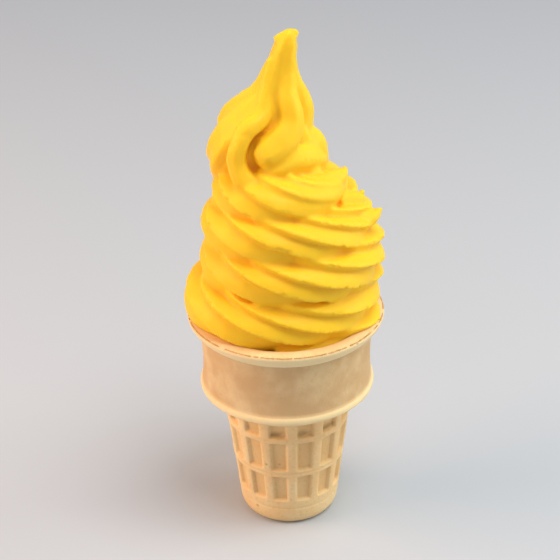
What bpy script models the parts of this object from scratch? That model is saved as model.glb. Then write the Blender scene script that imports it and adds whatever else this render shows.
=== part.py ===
"""A soft serve cone: a moulded wafer cup cone that stands on its flat foot, filled and topped with
a tall ridged swirl of mango-coloured soft serve. Two solids in metres, +Z up, origin under the foot."""

import math

import bmesh
import bpy
import numpy as np
from mathutils import Vector

# Lengths below are in millimetres and are turned into metres by this.
MM = 0.001

# Wafer: the tapering lower part
FOOT_RADIUS = 13.9
TAPER = 0.1235
FOOT_PULL_IN = 1.9
FOOT_PULL_HEIGHT = 4.5
FOOT_RINGS = (0.0, 0.4, 1.1, 2.6, 5.0)
STEM_TOP = 38.6
WALL = 2.6
FLOOR = 2.2

# Wafer: the moulded panels
PANELS = 14
RIB_TURN = 3.0
RIB_WIDTH = 8.6
RECESS_SLOPE = 2.2
RECESS_DEPTH = 1.0
RECESS_EDGE = 0.7
PANEL_ROWS = ((9.3, 18.7), (20.7, 31.2), (32.7, 37.9))

# Wafer: the cup, from its underside over the bead, band and lip
CUP_OUTSIDE = (
    (18.8, 39.2), (23.9, 41.7), (25.2, 42.4), (25.5, 43.2), (25.35, 44.0), (24.8, 44.7), (24.35, 45.6),
    (24.1, 48.0), (24.0, 51.5), (24.2, 56.0), (24.5, 61.2), (25.0, 61.8), (26.0, 62.5),
    (27.1, 63.6), (27.8, 64.8), (28.0, 65.7), (27.2, 66.2), (25.4, 66.4),
)
LIP_TOP_POINTS = 4
CUP_INSIDE = (
    (24.3, 66.2), (23.4, 65.4), (22.9, 64.2), (22.7, 62.5), (22.2, 56.0), (22.2, 45.6),
    (21.4, 44.3), (16.6, 41.4),
)
STEM_INSIDE_HEIGHTS = (38.0, 5.0)
INNER_FLOOR_RADIUS = 10.4

# Clearance that the soft serve keeps to the wafer, and how it fills the cup
CLEAR = 0.36
PLUG_CLEAR = 0.42
FILL_TOP = 58.0
FILL_LAP = 0.8
CLEARING_WIDTH = 45.0
CLEARING_FOOT = 40.0

# Swirl: the rope's centre line. Turns run counterclockwise seen from above, counted from the
# front; a negative distance lies past the axis. Columns: turn, from axis, height, half thickness.
ROPE = (
    (-1.00, 14.0, 60.0, 10.0),
    (-0.75, 18.4, 64.0, 10.2),
    (-0.50, 16.0, 67.0, 10.0),
    (-0.25, 19.4, 71.0, 10.0),
    (0.00, 16.6, 73.0, 9.3),
    (0.25, 18.8, 75.8, 9.4),
    (0.50, 17.0, 79.0, 9.2),
    (0.75, 14.8, 83.0, 9.2),
    (1.00, 16.6, 86.0, 9.2),
    (1.25, 19.4, 86.4, 9.1),
    (1.50, 15.5, 90.5, 9.0),
    (1.75, 14.3, 94.0, 8.8),
    (2.00, 15.6, 97.0, 8.6),
    (2.25, 17.0, 95.6, 8.2),
    (2.50, 13.0, 99.0, 8.0),
    (2.75, 11.4, 104.0, 8.4),
    (3.00, 12.8, 106.4, 7.9),
    (3.25, 12.8, 107.8, 4.5),
    (3.48, 7.0, 108.6, 7.2),
    (3.68, 10.2, 112.2, 12.2),
    (3.72, 8.2, 119.4, 11.9),
    (3.74, 5.0, 125.6, 9.4),
    (3.75, 2.2, 131.3, 7.2),
    (3.75, 0.6, 137.0, 5.2),
    (3.75, -0.6, 142.0, 4.0),
    (3.75, -1.7, 146.0, 3.3),
    (3.75, -2.8, 148.2, 2.3),
    (3.75, -4.6, 149.4, 0.8),
)
# Folds of the drawn-up end, each as places and half thicknesses.
# The cap that comes round from the back to the front
CAP = (
    (6.8, 4.5, 113.0, 5.0), (7.2, 0.0, 113.2, 5.0), (6.2, -4.6, 115.0, 4.4), (3.6, -7.8, 116.3, 3.9),
    (0.2, -9.4, 115.6, 4.0), (-3.2, -10.2, 114.6, 3.4), (-6.2, -10.4, 114.4, 1.2),
)
# The fold that rises on the right
RIGHT_FOLD = (
    (7.0, 0.5, 109.0, 5.0), (7.6, 0.2, 113.5, 5.0), (6.6, 0.0, 117.5, 5.0), (4.8, 0.0, 121.0, 4.1),
    (5.0, 0.0, 124.6, 3.7), (5.4, 0.2, 128.4, 3.2), (4.4, 0.2, 132.1, 2.8), (3.4, 0.0, 136.3, 2.0),
    (3.0, 0.0, 142.0, 1.3),
)
# The fold that curls down the left side and back under the cap
CURL = (
    (-2.2, -1.3, 142.4, 1.5), (-3.4, -3.1, 135.5, 2.0), (-4.3, -4.6, 131.8, 2.3),
    (-4.6, -6.0, 129.0, 2.5), (-6.2, -7.7, 127.2, 2.6), (-8.3, -8.8, 126.1, 2.7),
    (-10.2, -9.6, 124.2, 2.7), (-11.6, -10.4, 121.4, 2.7), (-12.2, -10.6, 118.3, 2.7),
    (-11.8, -11.0, 115.2, 2.8), (-10.5, -11.6, 112.6, 3.0), (-8.2, -12.0, 110.6, 3.0),
)
# The broad fold down the front, which ends in a blunt knob
FRONT_FOLD = (
    (2.6, -0.8, 144.3, 1.4), (2.2, -1.7, 139.0, 2.2), (1.6, -3.2, 134.5, 2.7), (2.0, -4.7, 131.1, 3.1),
    (2.5, -5.5, 127.7, 3.5), (1.8, -6.7, 124.5, 4.1), (-0.2, -8.2, 121.8, 4.7), (-2.8, -9.6, 119.6, 4.8),
    (-5.2, -10.6, 118.8, 4.0), (-7.4, -10.8, 118.4, 1.8),
)
FOLDS = (CAP, RIGHT_FOLD, CURL, FRONT_FOLD)
# The middle of the coil is solid, and its foot fills the cup: radii by height.
CORE = (
    (21.8, 54.0), (21.8, 62.0), (16.5, 67.0), (13.5, 76.0),
    (13.0, 84.0), (10.5, 97.0), (8.0, 106.0), (4.0, 112.0),
)

# Swirl: the star nozzle's ridges, with depths as shares of the half thickness. Each has a broad
# upper face and a short lower one, which takes RIDGE_LOWER_SHARE of its width.
RIDGES = 8
RIDGE_DEPTH = 0.24
RIDGE_DEPTH_SWING = 0.03
RIDGE_LOWER_SHARE = 0.22
RIDGE_ROUNDNESS = 1.2
RIDGE_DRIFT = 1.2
RIDGE_DRIFT_SWING = 0.15
RIDGE_PHASE = 0.5
PEAK_RIDGES = 5
PEAK_RIDGE_DEPTH = 0.25
PEAK_RIDGE_SHARE = 0.85
PEAK_RIDGE_START = 3.6
FOLD_RIDGES = 6
FOLD_RIDGE_DEPTH = 0.08
# No two ridges are the same: two slow waves shift them round the section, in radians, and the
# rope swells and narrows along its length.
UNEVEN_WIDTH = 0.07
WIDE_WAVES = 2
WIDE_WAVE_TURN = 2.1
NARROW_WAVES = 3
NARROW_WAVE_TURN = 4.7
UNEVEN_THICKNESS = 0.025
SWELLS_PER_TURN = 1.7

# Mesh: sides and steps
ROUND_SIDES = 4 * PANELS
ROPE_STEPS = 900
ROPE_SIDES = 180
FOLD_STEPS = 160
FOLD_SIDES = 84
FUSE_CELL = 0.7
SWIRL_TRIANGLES = 7700

# Looks: linear colours, roughness, and the angle in degrees above which an edge stays sharp
WAFER_COLOUR = (0.76, 0.52, 0.28)
WAFER_ROUGHNESS = 0.75
WAFER_SHARP = 35.0
SWIRL_COLOUR = (0.95, 0.47, 0.02)
SWIRL_ROUGHNESS = 0.4
SWIRL_SHARP = 50.0


def clear_scene():
    for obj in list(bpy.data.objects):
        bpy.data.objects.remove(obj)


def principled(name, colour, roughness):
    """A plain material; colour is linear."""
    material = bpy.data.materials.new(name)
    material.use_nodes = True
    shader = material.node_tree.nodes["Principled BSDF"]
    shader.inputs["Base Color"].default_value = (*colour, 1.0)
    shader.inputs["Roughness"].default_value = roughness
    return material


def object_from(name, vertices, faces):
    mesh = bpy.data.meshes.new(name)
    mesh.from_pydata([tuple(v) for v in vertices], [], faces)
    mesh.update()
    obj = bpy.data.objects.new(name, mesh)
    bpy.context.scene.collection.objects.link(obj)
    return obj


def turn_outwards(obj):
    """Recalculates the normals of a closed mesh so that they point out."""
    work = bmesh.new()
    work.from_mesh(obj.data)
    bmesh.ops.recalc_face_normals(work, faces=work.faces)
    work.to_mesh(obj.data)
    work.free()


def apply_modifiers(obj):
    """Replaces the object's mesh with its evaluated one."""
    graph = bpy.context.evaluated_depsgraph_get()
    mesh = bpy.data.meshes.new_from_object(obj.evaluated_get(graph))
    obj.modifiers.clear()
    old = obj.data
    obj.data = mesh
    bpy.data.meshes.remove(old)


def fuse(obj, other, operation):
    """Joins or cuts obj with other, which is removed."""
    modifier = obj.modifiers.new("fuse", "BOOLEAN")
    modifier.operation = operation
    modifier.object = other
    modifier.solver = "EXACT"
    apply_modifiers(obj)
    bpy.data.objects.remove(other)


def skin(rings, closed_at_end=True):
    """Quads between rings of equal length, with both ends closed by a fan to their middle."""
    count = len(rings[0])
    vertices = [p for ring in rings for p in ring]
    faces = []
    for r in range(len(rings) - 1):
        for k in range(count):
            a = r * count + k
            b = r * count + (k + 1) % count
            faces.append((a, b, b + count, a + count))
    if closed_at_end:
        for ring_start, flip in ((0, True), ((len(rings) - 1) * count, False)):
            middle = np.mean(vertices[ring_start:ring_start + count], axis=0)
            vertices.append(middle)
            hub = len(vertices) - 1
            for k in range(count):
                a = ring_start + k
                b = ring_start + (k + 1) % count
                faces.append((b, a, hub) if flip else (a, b, hub))
    return vertices, faces


def turned(name, profile, sides):
    """A closed solid of revolution from a profile in millimetres whose ends lie on the axis."""
    inner = profile[1:-1]
    rings = []
    for radius, height in inner:
        angles = [2 * math.pi * k / sides for k in range(sides)]
        rings.append([(radius * math.cos(a), radius * math.sin(a), height) for a in angles])
    vertices, faces = skin([np.array(r) * MM for r in rings], closed_at_end=False)
    for ring_start, height in ((0, profile[0][1]), ((len(rings) - 1) * sides, profile[-1][1])):
        vertices.append(np.array((0.0, 0.0, height * MM)))
        hub = len(vertices) - 1
        for k in range(sides):
            faces.append((ring_start + k, ring_start + (k + 1) % sides, hub))
    obj = object_from(name, vertices, faces)
    turn_outwards(obj)
    return obj


def moved_in(profile, distance):
    """The profile moved to its left by a distance, each point along the mean of its sides' normals."""
    points = [Vector(p) for p in profile]
    moved = []
    for i, point in enumerate(points):
        before = points[max(i - 1, 0)]
        after = points[min(i + 1, len(points) - 1)]
        along = (after - before).normalized()
        moved.append((point.x - along.y * distance, point.y + along.x * distance))
    return moved


def stem_radius(height):
    """Outer radius of the tapering part, drawn in at the foot."""
    pull = max(0.0, 1.0 - height / FOOT_PULL_HEIGHT)
    return FOOT_RADIUS + TAPER * height - FOOT_PULL_IN * pull ** 3


def stem_inside():
    return [(stem_radius(h) - WALL, h) for h in STEM_INSIDE_HEIGHTS]


def inside_profile():
    """The wafer's inner face, from the lip down to the middle of the floor."""
    return list(CUP_INSIDE) + stem_inside() + [(INNER_FLOOR_RADIUS, FLOOR), (0.0, FLOOR)]


def stem_heights():
    """Heights of the rings of the lower part: each says whether the panels are sunk there."""
    heights = [(height, False) for height in FOOT_RINGS]
    for low, high in PANEL_ROWS:
        heights.append((low, False))
        heights.append((low + RECESS_EDGE, True))
        heights.append((high - RECESS_EDGE, True))
        heights.append((high, False))
    heights.append((STEM_TOP, False))
    return heights


def panel_angles():
    """Four angles for each panel: the rib's two edges, then the recess's two edges."""
    pitch = 2 * math.pi / PANELS
    half_rib = math.radians(RIB_WIDTH) / 2
    slope = math.radians(RECESS_SLOPE)
    start = math.radians(-90.0 + RIB_TURN)
    angles = []
    for k in range(PANELS):
        middle = start + k * pitch
        angles.append((middle - half_rib, False))
        angles.append((middle + half_rib, False))
        angles.append((middle + half_rib + slope, True))
        angles.append((middle + pitch - half_rib - slope, True))
    return angles


def build_wafer_cone():
    """The moulded wafer: stem with sunk panels, cup with bead, band and flared lip, hollow inside."""
    angles = panel_angles()
    rings = []
    for height, sunk_row in stem_heights():
        ring = []
        for angle, sunk_column in angles:
            radius = stem_radius(height)
            if sunk_row and sunk_column:
                radius -= RECESS_DEPTH
            ring.append((radius * math.cos(angle), radius * math.sin(angle), height))
        rings.append(ring)
    for radius, height in list(CUP_OUTSIDE) + inside_profile()[:-1]:
        rings.append([(radius * math.cos(a), radius * math.sin(a), height) for a, _ in angles])
    vertices, faces = skin([np.array(r) * MM for r in rings], closed_at_end=True)
    obj = object_from("wafer_cone", vertices, faces)
    turn_outwards(obj)
    obj.data.shade_smooth()
    obj.data.set_sharp_from_angle(angle=math.radians(WAFER_SHARP))
    obj.data.materials.append(principled("wafer", WAFER_COLOUR, WAFER_ROUGHNESS))
    return obj


def spline(knots, values, at):
    """Natural cubic spline through the values, read at many places."""
    knots = np.asarray(knots, float)
    values = np.asarray(values, float)
    gaps = np.diff(knots)
    slopes = np.diff(values, axis=0) / gaps[:, None]
    count = len(knots)
    matrix = np.eye(count)
    right = np.zeros_like(values)
    for i in range(1, count - 1):
        matrix[i, i - 1] = gaps[i - 1]
        matrix[i, i] = 2 * (gaps[i - 1] + gaps[i])
        matrix[i, i + 1] = gaps[i]
        right[i] = 6 * (slopes[i] - slopes[i - 1])
    bend = np.linalg.solve(matrix, right)
    k = np.clip(np.searchsorted(knots, at) - 1, 0, count - 2)
    t = (at - knots[k])[:, None]
    gap = gaps[k][:, None]
    rest = gap - t
    curve = (bend[k] * rest ** 3 + bend[k + 1] * t ** 3) / (6 * gap)
    line = (values[k] / gap - bend[k] * gap / 6) * rest
    return curve + line + (values[k + 1] / gap - bend[k + 1] * gap / 6) * t


def rope_line(steps):
    """Centre points, half thickness and turn along the rope."""
    rows = np.array(ROPE)
    turn, out, height = rows[:, 0], rows[:, 1], rows[:, 2]
    arc = 2 * math.pi * np.diff(turn) * (np.abs(out[1:]) + np.abs(out[:-1])) / 2
    lengths = np.sqrt(arc ** 2 + np.diff(out) ** 2 + np.diff(height) ** 2)
    knots = np.concatenate([[0.0], np.cumsum(lengths)])
    at = np.linspace(0.0, knots[-1], steps)
    turn, out, height, thick = spline(knots, rows, at).T
    angle = math.radians(270.0) + 2 * math.pi * turn
    centres = np.stack([out * np.cos(angle), out * np.sin(angle), height], axis=1)
    return centres, thick, turn


def carried_frames(centres):
    """Two side directions at each point, carried along the line without turning about it."""
    along = np.gradient(centres, axis=0)
    along /= np.linalg.norm(along, axis=1)[:, None]
    out = np.zeros_like(centres)
    side = np.array((centres[0, 0], centres[0, 1], 0.0))
    for i, direction in enumerate(along):
        side = side - direction * (side @ direction)
        side = side / np.linalg.norm(side)
        out[i] = side
    return out, np.cross(along, out)


def star(angle, ridges, depth):
    """Share of the full radius round a star section: leaning ridges with a broad upper face."""
    place = (ridges * angle / (2 * math.pi)) % 1.0
    below = place / RIDGE_LOWER_SHARE
    above = (1.0 - place) / (1.0 - RIDGE_LOWER_SHARE)
    return 1.0 - depth * np.minimum(below, above) ** RIDGE_ROUNDNESS


def rope_section(angle, turn):
    """Radius share round the rope at a turn: many ridges, fewer on the drawn-up end, all uneven."""
    azimuth = math.radians(270.0) + 2 * math.pi * turn
    warped = angle - 2 * math.pi * (RIDGE_DRIFT * turn + RIDGE_PHASE / RIDGES)
    warped = warped + RIDGE_DRIFT_SWING * np.sin(azimuth)
    warped = warped + UNEVEN_WIDTH * np.sin(WIDE_WAVES * warped + WIDE_WAVE_TURN * turn)
    warped = warped + UNEVEN_WIDTH / 2 * np.sin(NARROW_WAVES * warped - NARROW_WAVE_TURN * turn)
    depth = RIDGE_DEPTH + RIDGE_DEPTH_SWING * np.cos(azimuth)
    many = star(warped, RIDGES, depth)
    few = star(warped, PEAK_RIDGES, PEAK_RIDGE_DEPTH)
    drawn = np.clip((turn - PEAK_RIDGE_START) / (ROPE[-1][0] - PEAK_RIDGE_START), 0.0, 1.0)
    drawn = PEAK_RIDGE_SHARE * drawn * drawn * (3 - 2 * drawn)
    swell = 1.0 + UNEVEN_THICKNESS * np.sin(2 * math.pi * SWELLS_PER_TURN * turn + angle)
    return ((1 - drawn) * many + drawn * few) * swell


def swept(name, centres, thick, shares):
    """A closed tube round a line of centres, whose radius varies round each ring."""
    sides = shares.shape[1]
    angle = np.linspace(0, 2 * math.pi, sides, endpoint=False)
    out, up = carried_frames(centres)
    across = np.cos(angle)[None, :, None] * out[:, None, :] + np.sin(angle)[None, :, None] * up[:, None, :]
    points = centres[:, None, :] + (thick[:, None] * shares)[:, :, None] * across
    vertices, faces = skin(list(points * MM))
    obj = object_from(name, vertices, faces)
    turn_outwards(obj)
    return obj


def build_rope():
    centres, thick, turn = rope_line(ROPE_STEPS)
    angle = np.linspace(0, 2 * math.pi, ROPE_SIDES, endpoint=False)
    shares = rope_section(angle[None, :], turn[:, None])
    return swept("rope", centres, thick, shares)


def build_fold(rows):
    rows = np.array(rows)
    lengths = np.linalg.norm(np.diff(rows[:, :3], axis=0), axis=1)
    knots = np.concatenate([[0.0], np.cumsum(lengths)])
    line = spline(knots, rows, np.linspace(0.0, knots[-1], FOLD_STEPS))
    angle = np.linspace(0, 2 * math.pi, FOLD_SIDES, endpoint=False)
    shares = np.tile(star(angle, FOLD_RIDGES, FOLD_RIDGE_DEPTH), (FOLD_STEPS, 1))
    return swept("fold", line[:, :3], line[:, 3], shares)


def keep_outer_shell(obj):
    """Drops the inner shells of sealed hollows and any loose scrap."""
    work = bmesh.new()
    work.from_mesh(obj.data)
    unseen = set(work.verts)
    shells = []
    while unseen:
        front = [unseen.pop()]
        shell = list(front)
        while front:
            vertex = front.pop()
            for edge in vertex.link_edges:
                other = edge.other_vert(vertex)
                if other in unseen:
                    unseen.discard(other)
                    front.append(other)
                    shell.append(other)
        shells.append(shell)
    shells.sort(key=len)
    for shell in shells[:-1]:
        bmesh.ops.delete(work, geom=shell, context="VERTS")
    work.to_mesh(obj.data)
    work.free()


def inside_radius(height):
    """Radius of the cup's inner wall at a height above its floor."""
    radii, heights = zip(*reversed(CUP_INSIDE))
    return float(np.interp(height, heights, radii))


def clearing():
    """What the soft serve must stay out of: the wafer grown by the clearance, and the filled cup."""
    rim_top = list(CUP_OUTSIDE[-LIP_TOP_POINTS:])
    lip = rim_top + [point for point in CUP_INSIDE if point[1] > FILL_TOP]
    lip.append((inside_radius(FILL_TOP), FILL_TOP))
    lip = moved_in(lip, -CLEAR)[1:-1]
    top = lip[0][1]
    profile = [(0.0, FILL_TOP), (inside_radius(FILL_TOP) - CLEAR, FILL_TOP)]
    profile += list(reversed(lip))
    profile += [(CLEARING_WIDTH, top), (CLEARING_WIDTH, CLEARING_FOOT), (0.0, CLEARING_FOOT)]
    return turned("clearing", profile, ROUND_SIDES)


def plug():
    """The filling below the swirl, a little clear of the wafer's inner face."""
    inner = [p for p in inside_profile() if p[1] < FILL_TOP]
    top = FILL_TOP + FILL_LAP
    wall = moved_in([(inside_radius(top), top)] + inner[:-1], -PLUG_CLEAR)
    profile = [(0.0, top), (wall[0][0], top)] + wall[1:-1]
    profile += [(wall[-1][0], FLOOR + PLUG_CLEAR), (0.0, FLOOR + PLUG_CLEAR)]
    return turned("plug", profile, ROUND_SIDES)


def build_soft_serve():
    """Rope, folds and core fused into one outer skin, fitted to the wafer and joined to the filling."""
    swirl = build_rope()
    core_profile = [(0.0, CORE[0][1])] + list(CORE) + [(0.0, CORE[-1][1])]
    pieces = [build_fold(rows) for rows in FOLDS]
    pieces.append(turned("core", core_profile, ROUND_SIDES))
    for piece in pieces:
        work = bmesh.new()
        work.from_mesh(swirl.data)
        work.from_mesh(piece.data)
        work.to_mesh(swirl.data)
        work.free()
        bpy.data.objects.remove(piece)
    remesh = swirl.modifiers.new("fuse_skin", "REMESH")
    remesh.mode = "VOXEL"
    remesh.voxel_size = FUSE_CELL * MM
    apply_modifiers(swirl)
    keep_outer_shell(swirl)
    thin = swirl.modifiers.new("fewer_faces", "DECIMATE")
    thin.ratio = SWIRL_TRIANGLES / (2 * len(swirl.data.polygons))
    apply_modifiers(swirl)
    fuse(swirl, clearing(), "DIFFERENCE")
    fuse(swirl, plug(), "UNION")
    swirl.name = "soft_serve"
    swirl.data.name = "soft_serve"
    swirl.data.shade_smooth()
    swirl.data.set_sharp_from_angle(angle=math.radians(SWIRL_SHARP))
    swirl.data.materials.append(principled("soft_serve", SWIRL_COLOUR, SWIRL_ROUGHNESS))
    return swirl


clear_scene()
build_wafer_cone()
build_soft_serve()
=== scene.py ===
# A soft serve cone: a moulded, baked wafer cup cone with a swirl of mango soft serve.
import math
from functools import partial

import bmesh
import bpy
import numpy as np
from bpy.props import FloatProperty, FloatVectorProperty, IntProperty, PointerProperty
from mathutils import Matrix, Vector


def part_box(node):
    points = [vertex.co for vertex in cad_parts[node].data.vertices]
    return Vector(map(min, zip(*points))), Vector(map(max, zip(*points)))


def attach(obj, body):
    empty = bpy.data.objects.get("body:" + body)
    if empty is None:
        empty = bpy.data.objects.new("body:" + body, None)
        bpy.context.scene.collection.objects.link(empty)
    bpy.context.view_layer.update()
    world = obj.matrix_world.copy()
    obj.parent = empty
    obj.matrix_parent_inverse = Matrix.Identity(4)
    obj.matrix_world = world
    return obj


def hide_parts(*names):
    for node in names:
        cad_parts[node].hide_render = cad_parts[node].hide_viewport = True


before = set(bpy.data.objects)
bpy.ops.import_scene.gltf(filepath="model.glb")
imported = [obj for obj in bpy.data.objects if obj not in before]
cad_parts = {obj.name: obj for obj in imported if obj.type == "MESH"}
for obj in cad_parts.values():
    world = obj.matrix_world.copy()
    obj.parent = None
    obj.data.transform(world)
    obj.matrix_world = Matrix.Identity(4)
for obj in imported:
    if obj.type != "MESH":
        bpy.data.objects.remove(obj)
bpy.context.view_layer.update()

bl_info = {
    "name": "Soft serve cone",
    "version": (1, 0, 0),
    "blender": (4, 5, 0),
    "location": "View3D > Sidebar > Soft serve",
    "description": "Makes a baked wafer cup cone and the ridged swirl of soft serve in it",
    "category": "Object",
}

_, WAFER_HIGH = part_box("wafer_cone")
SWIRL_LOW, SWIRL_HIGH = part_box("soft_serve")

# Lengths are written in millimetres and turned into metres by this.
MM = 0.001

# Wafer section: the solids', with crisper edges at the bead and the lip
FOOT_RADIUS = 13.9
TAPER = 0.1235
FOOT_PULL_IN = 1.9
FOOT_PULL_HEIGHT = 4.5
STEM_TOP = 38.6
WALL = 2.6
FLOOR = 2.2
CUP_OUTSIDE = (
    (18.8, 39.2), (23.9, 41.7), (24.75, 42.3), (25.05, 42.9), (25.0, 43.7), (24.7, 44.25), (24.3, 44.5),
    (24.1, 48.0), (24.0, 51.5), (24.2, 56.0), (24.3, 60.9), (24.35, 61.3), (25.2, 61.6),
    (27.0, 63.3), (27.8, 64.8), (28.0, 65.7), (27.2, 66.2), (25.4, 66.4),
)
# Of those, how many are the lip's top, and between which the plain band runs
LIP_TOP_POINTS = 4
BAND_START = 6
BAND_END = 10
# Heights between which the bead and the lip's face lie, which get painted light: a painted highlight along
# the bead and painted bounce light on the lip's face
BEAD_HEIGHTS = (41.4, 44.4)
LIP_HEIGHTS = (61.5, 65.6)
# Where the flash line's crumbs sit, just inside the lip's outer edge: radius and height
FLASH_LINE = (27.62, 65.95)
CUP_INSIDE = (
    (24.3, 66.2), (23.4, 65.4), (22.9, 64.2), (22.7, 62.5), (22.2, 56.0), (22.2, 45.6),
    (21.4, 44.3), (16.6, 41.4),
)
STEM_INSIDE_HEIGHTS = (38.0, 5.0)
INNER_FLOOR_RADIUS = 10.4
PANEL_ROWS = ((9.3, 18.7), (20.7, 31.2), (32.7, 37.9))
# Moulding lines that run round the stem: height, half width and depth
MOULD_LINES = ((19.7, 0.45, 0.22), (6.4, 0.5, 0.16))
# Half the height over which a raised place's mark comes in
MARK_EDGE = 0.2
# Heights above the top row's lower edge where the scorched patch is darkest and where it ends
SCORCH_DARKEST = 1.2
SCORCH_END = 3.4
# The shallow waves start above the foot, so that it stays flat
WAVES_START = 0.4
WAVES_FULL = 3.0
# This is taken off the waves' noise: a little over its middle, so that hollows outweigh bumps
WAVE_MIDDLE = 0.55
# A crumb is left out where the noise is under this; their least and most length, width and height,
# as shares of the largest crumb's; and the spacing of their brown spots
CRUMB_GAPS = 0.43
CRUMB_LEAST = (0.4, 0.3, 0.3)
CRUMB_MOST = (1.6, 1.0, 1.0)
CRUMB_SPOTS = 2.2
# Noises of the wafer's surface as size, detail and roughness: blotches, mottling, burnt patches,
# where specks lie, gloss and the fine tooth
WAFER_NOISES = (
    (9.0, 3.0, 0.5), (0.9, 2.0, 0.5), (5.0, 2.0, 0.5), (6.0, 1.0, 0.5), (1.4, 2.0, 0.5), (0.35, 2.0, 0.6),
)
SPECK_SPACING = 4.5
PORE_SPACING = 0.55
# The value of a noise, or the share of the spacing, where each starts to show and where it is full
BLOTCHES = (0.35, 0.7)
MOTTLING = (0.52, 0.72)
BURNT_PATCHES = (0.42, 0.62)
SPECKS = (0.16, 0.06)
SPECKLED_PLACES = (0.62, 0.68)
PORES = (0.0, 0.45)
BROWN_SPOTS = (0.4, 0.62)
# Least and most roughness
WAFER_ROUGHNESS = (0.62, 0.82)
# What the wafer's mesh stores at each point, for its material
WAFER_MARKS = ("sunk", "scorch", "raised", "band")
# Points nearer to each other than this are one
SAME_POINT = 0.01
# Share of a side that each of its ends loses where corners are cut
CORNER_CUT = 0.25

# Swirl: the rope's centre line. Turns run counterclockwise seen from above, counted from the front;
# a negative distance lies past the axis. Columns: turn, from axis, height, half thickness.
ROPE = (
    (-1.00, 14.0, 60.0, 10.0),
    (-0.75, 18.4, 64.0, 10.2),
    (-0.50, 16.0, 67.0, 10.0),
    (-0.25, 19.4, 71.0, 10.0),
    (0.00, 16.6, 73.0, 9.3),
    (0.25, 18.8, 75.8, 9.4),
    (0.50, 17.0, 79.0, 9.2),
    (0.75, 14.8, 83.0, 9.2),
    (1.00, 16.6, 86.0, 9.2),
    (1.25, 19.4, 86.4, 9.1),
    (1.50, 15.5, 90.5, 9.0),
    (1.75, 14.3, 94.0, 8.8),
    (2.00, 15.6, 97.0, 8.6),
    (2.25, 17.0, 95.6, 8.2),
    (2.50, 13.0, 99.0, 8.0),
    (2.75, 11.4, 104.0, 8.4),
    (3.00, 12.8, 106.4, 7.9),
    (3.25, 12.2, 106.9, 4.0),
    (3.48, 7.0, 108.6, 7.0),
    (3.68, 10.2, 112.2, 12.2),
    (3.72, 8.2, 119.4, 11.9),
    (3.74, 5.0, 125.6, 9.2),
    (3.75, 2.0, 131.3, 7.0),
    (3.75, 0.6, 137.0, 5.2),
    (3.75, -0.6, 142.0, 4.0),
    (3.75, -1.7, 146.0, 3.3),
    (3.75, -2.8, 148.2, 2.3),
    (3.75, -4.6, 149.4, 0.8),
)
# Folds of the drawn-up end, each as places and half thicknesses: first the cap, which ends in a
# knob at the front
CAP = (
    (6.8, 4.5, 113.0, 5.0), (7.2, 0.0, 113.2, 5.0), (6.2, -4.6, 115.0, 4.4), (3.6, -7.8, 116.3, 3.9),
    (0.2, -9.4, 115.6, 4.0), (-3.2, -10.2, 114.6, 3.4), (-6.2, -10.4, 114.4, 1.2),
)
# The inner fold on the right
RIGHT_FOLD = (
    (7.0, 0.5, 109.0, 5.0), (7.6, 0.2, 113.5, 5.0), (6.6, 0.0, 117.5, 5.0), (4.8, 0.0, 121.0, 4.1),
    (5.0, 0.0, 124.6, 3.7), (5.4, 0.2, 128.4, 3.2), (4.4, 0.2, 132.1, 2.8), (3.4, 0.0, 136.3, 2.0),
    (3.0, 0.0, 142.0, 1.3),
)
# The curl on the left
CURL = (
    (-2.2, -1.3, 142.4, 1.5), (-3.4, -3.1, 135.5, 2.0), (-4.3, -4.6, 131.8, 2.3), (-4.6, -6.0, 129.0, 2.5),
    (-6.2, -7.7, 127.2, 2.6), (-8.3, -8.8, 126.1, 2.7), (-10.2, -9.6, 124.2, 2.7),
    (-11.6, -10.4, 121.4, 2.7), (-12.2, -10.6, 118.3, 2.7), (-11.8, -11.0, 115.2, 2.8),
    (-10.5, -11.6, 112.6, 3.0), (-8.2, -12.0, 110.6, 3.0),
)
# The long fold beside the groove
FRONT_FOLD = (
    (2.6, -0.8, 144.3, 1.4), (2.2, -1.7, 139.0, 2.2), (1.6, -3.2, 134.5, 2.7), (2.0, -4.7, 131.1, 3.1),
    (2.5, -5.5, 127.7, 3.5), (1.8, -6.7, 124.5, 4.1), (-0.2, -8.2, 121.8, 4.7), (-2.8, -9.6, 119.6, 4.8),
    (-5.2, -10.6, 118.8, 4.0), (-7.4, -10.8, 118.4, 1.8),
)
# Ends of ridges that tore off as the nozzle turned, on the right, from the top down, and the tip's
LEDGE_END = (
    (4.6, -8.0, 108.6, 3.0), (10.0, -7.5, 108.4, 3.4), (14.0, -5.0, 108.6, 2.9), (16.2, -3.0, 109.6, 1.8),
    (17.2, -2.0, 111.0, 0.5),
)
UPPER_END = (
    (15.0, -6.0, 101.5, 3.0), (19.0, -4.0, 102.0, 2.4), (21.0, -3.0, 102.8, 1.6), (21.8, -2.5, 104.2, 0.4),
)
LOWER_END = (
    (20.0, -8.0, 96.6, 3.0), (23.5, -5.5, 96.9, 2.3), (25.6, -4.0, 97.8, 1.4), (26.9, -3.0, 98.8, 0.3),
)
TIP_END = (
    (-1.0, 0.2, 146.4, 1.6), (1.6, 0.1, 147.9, 1.6), (3.4, 0.0, 148.5, 1.0), (4.9, -0.1, 149.2, 0.3),
)
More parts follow.
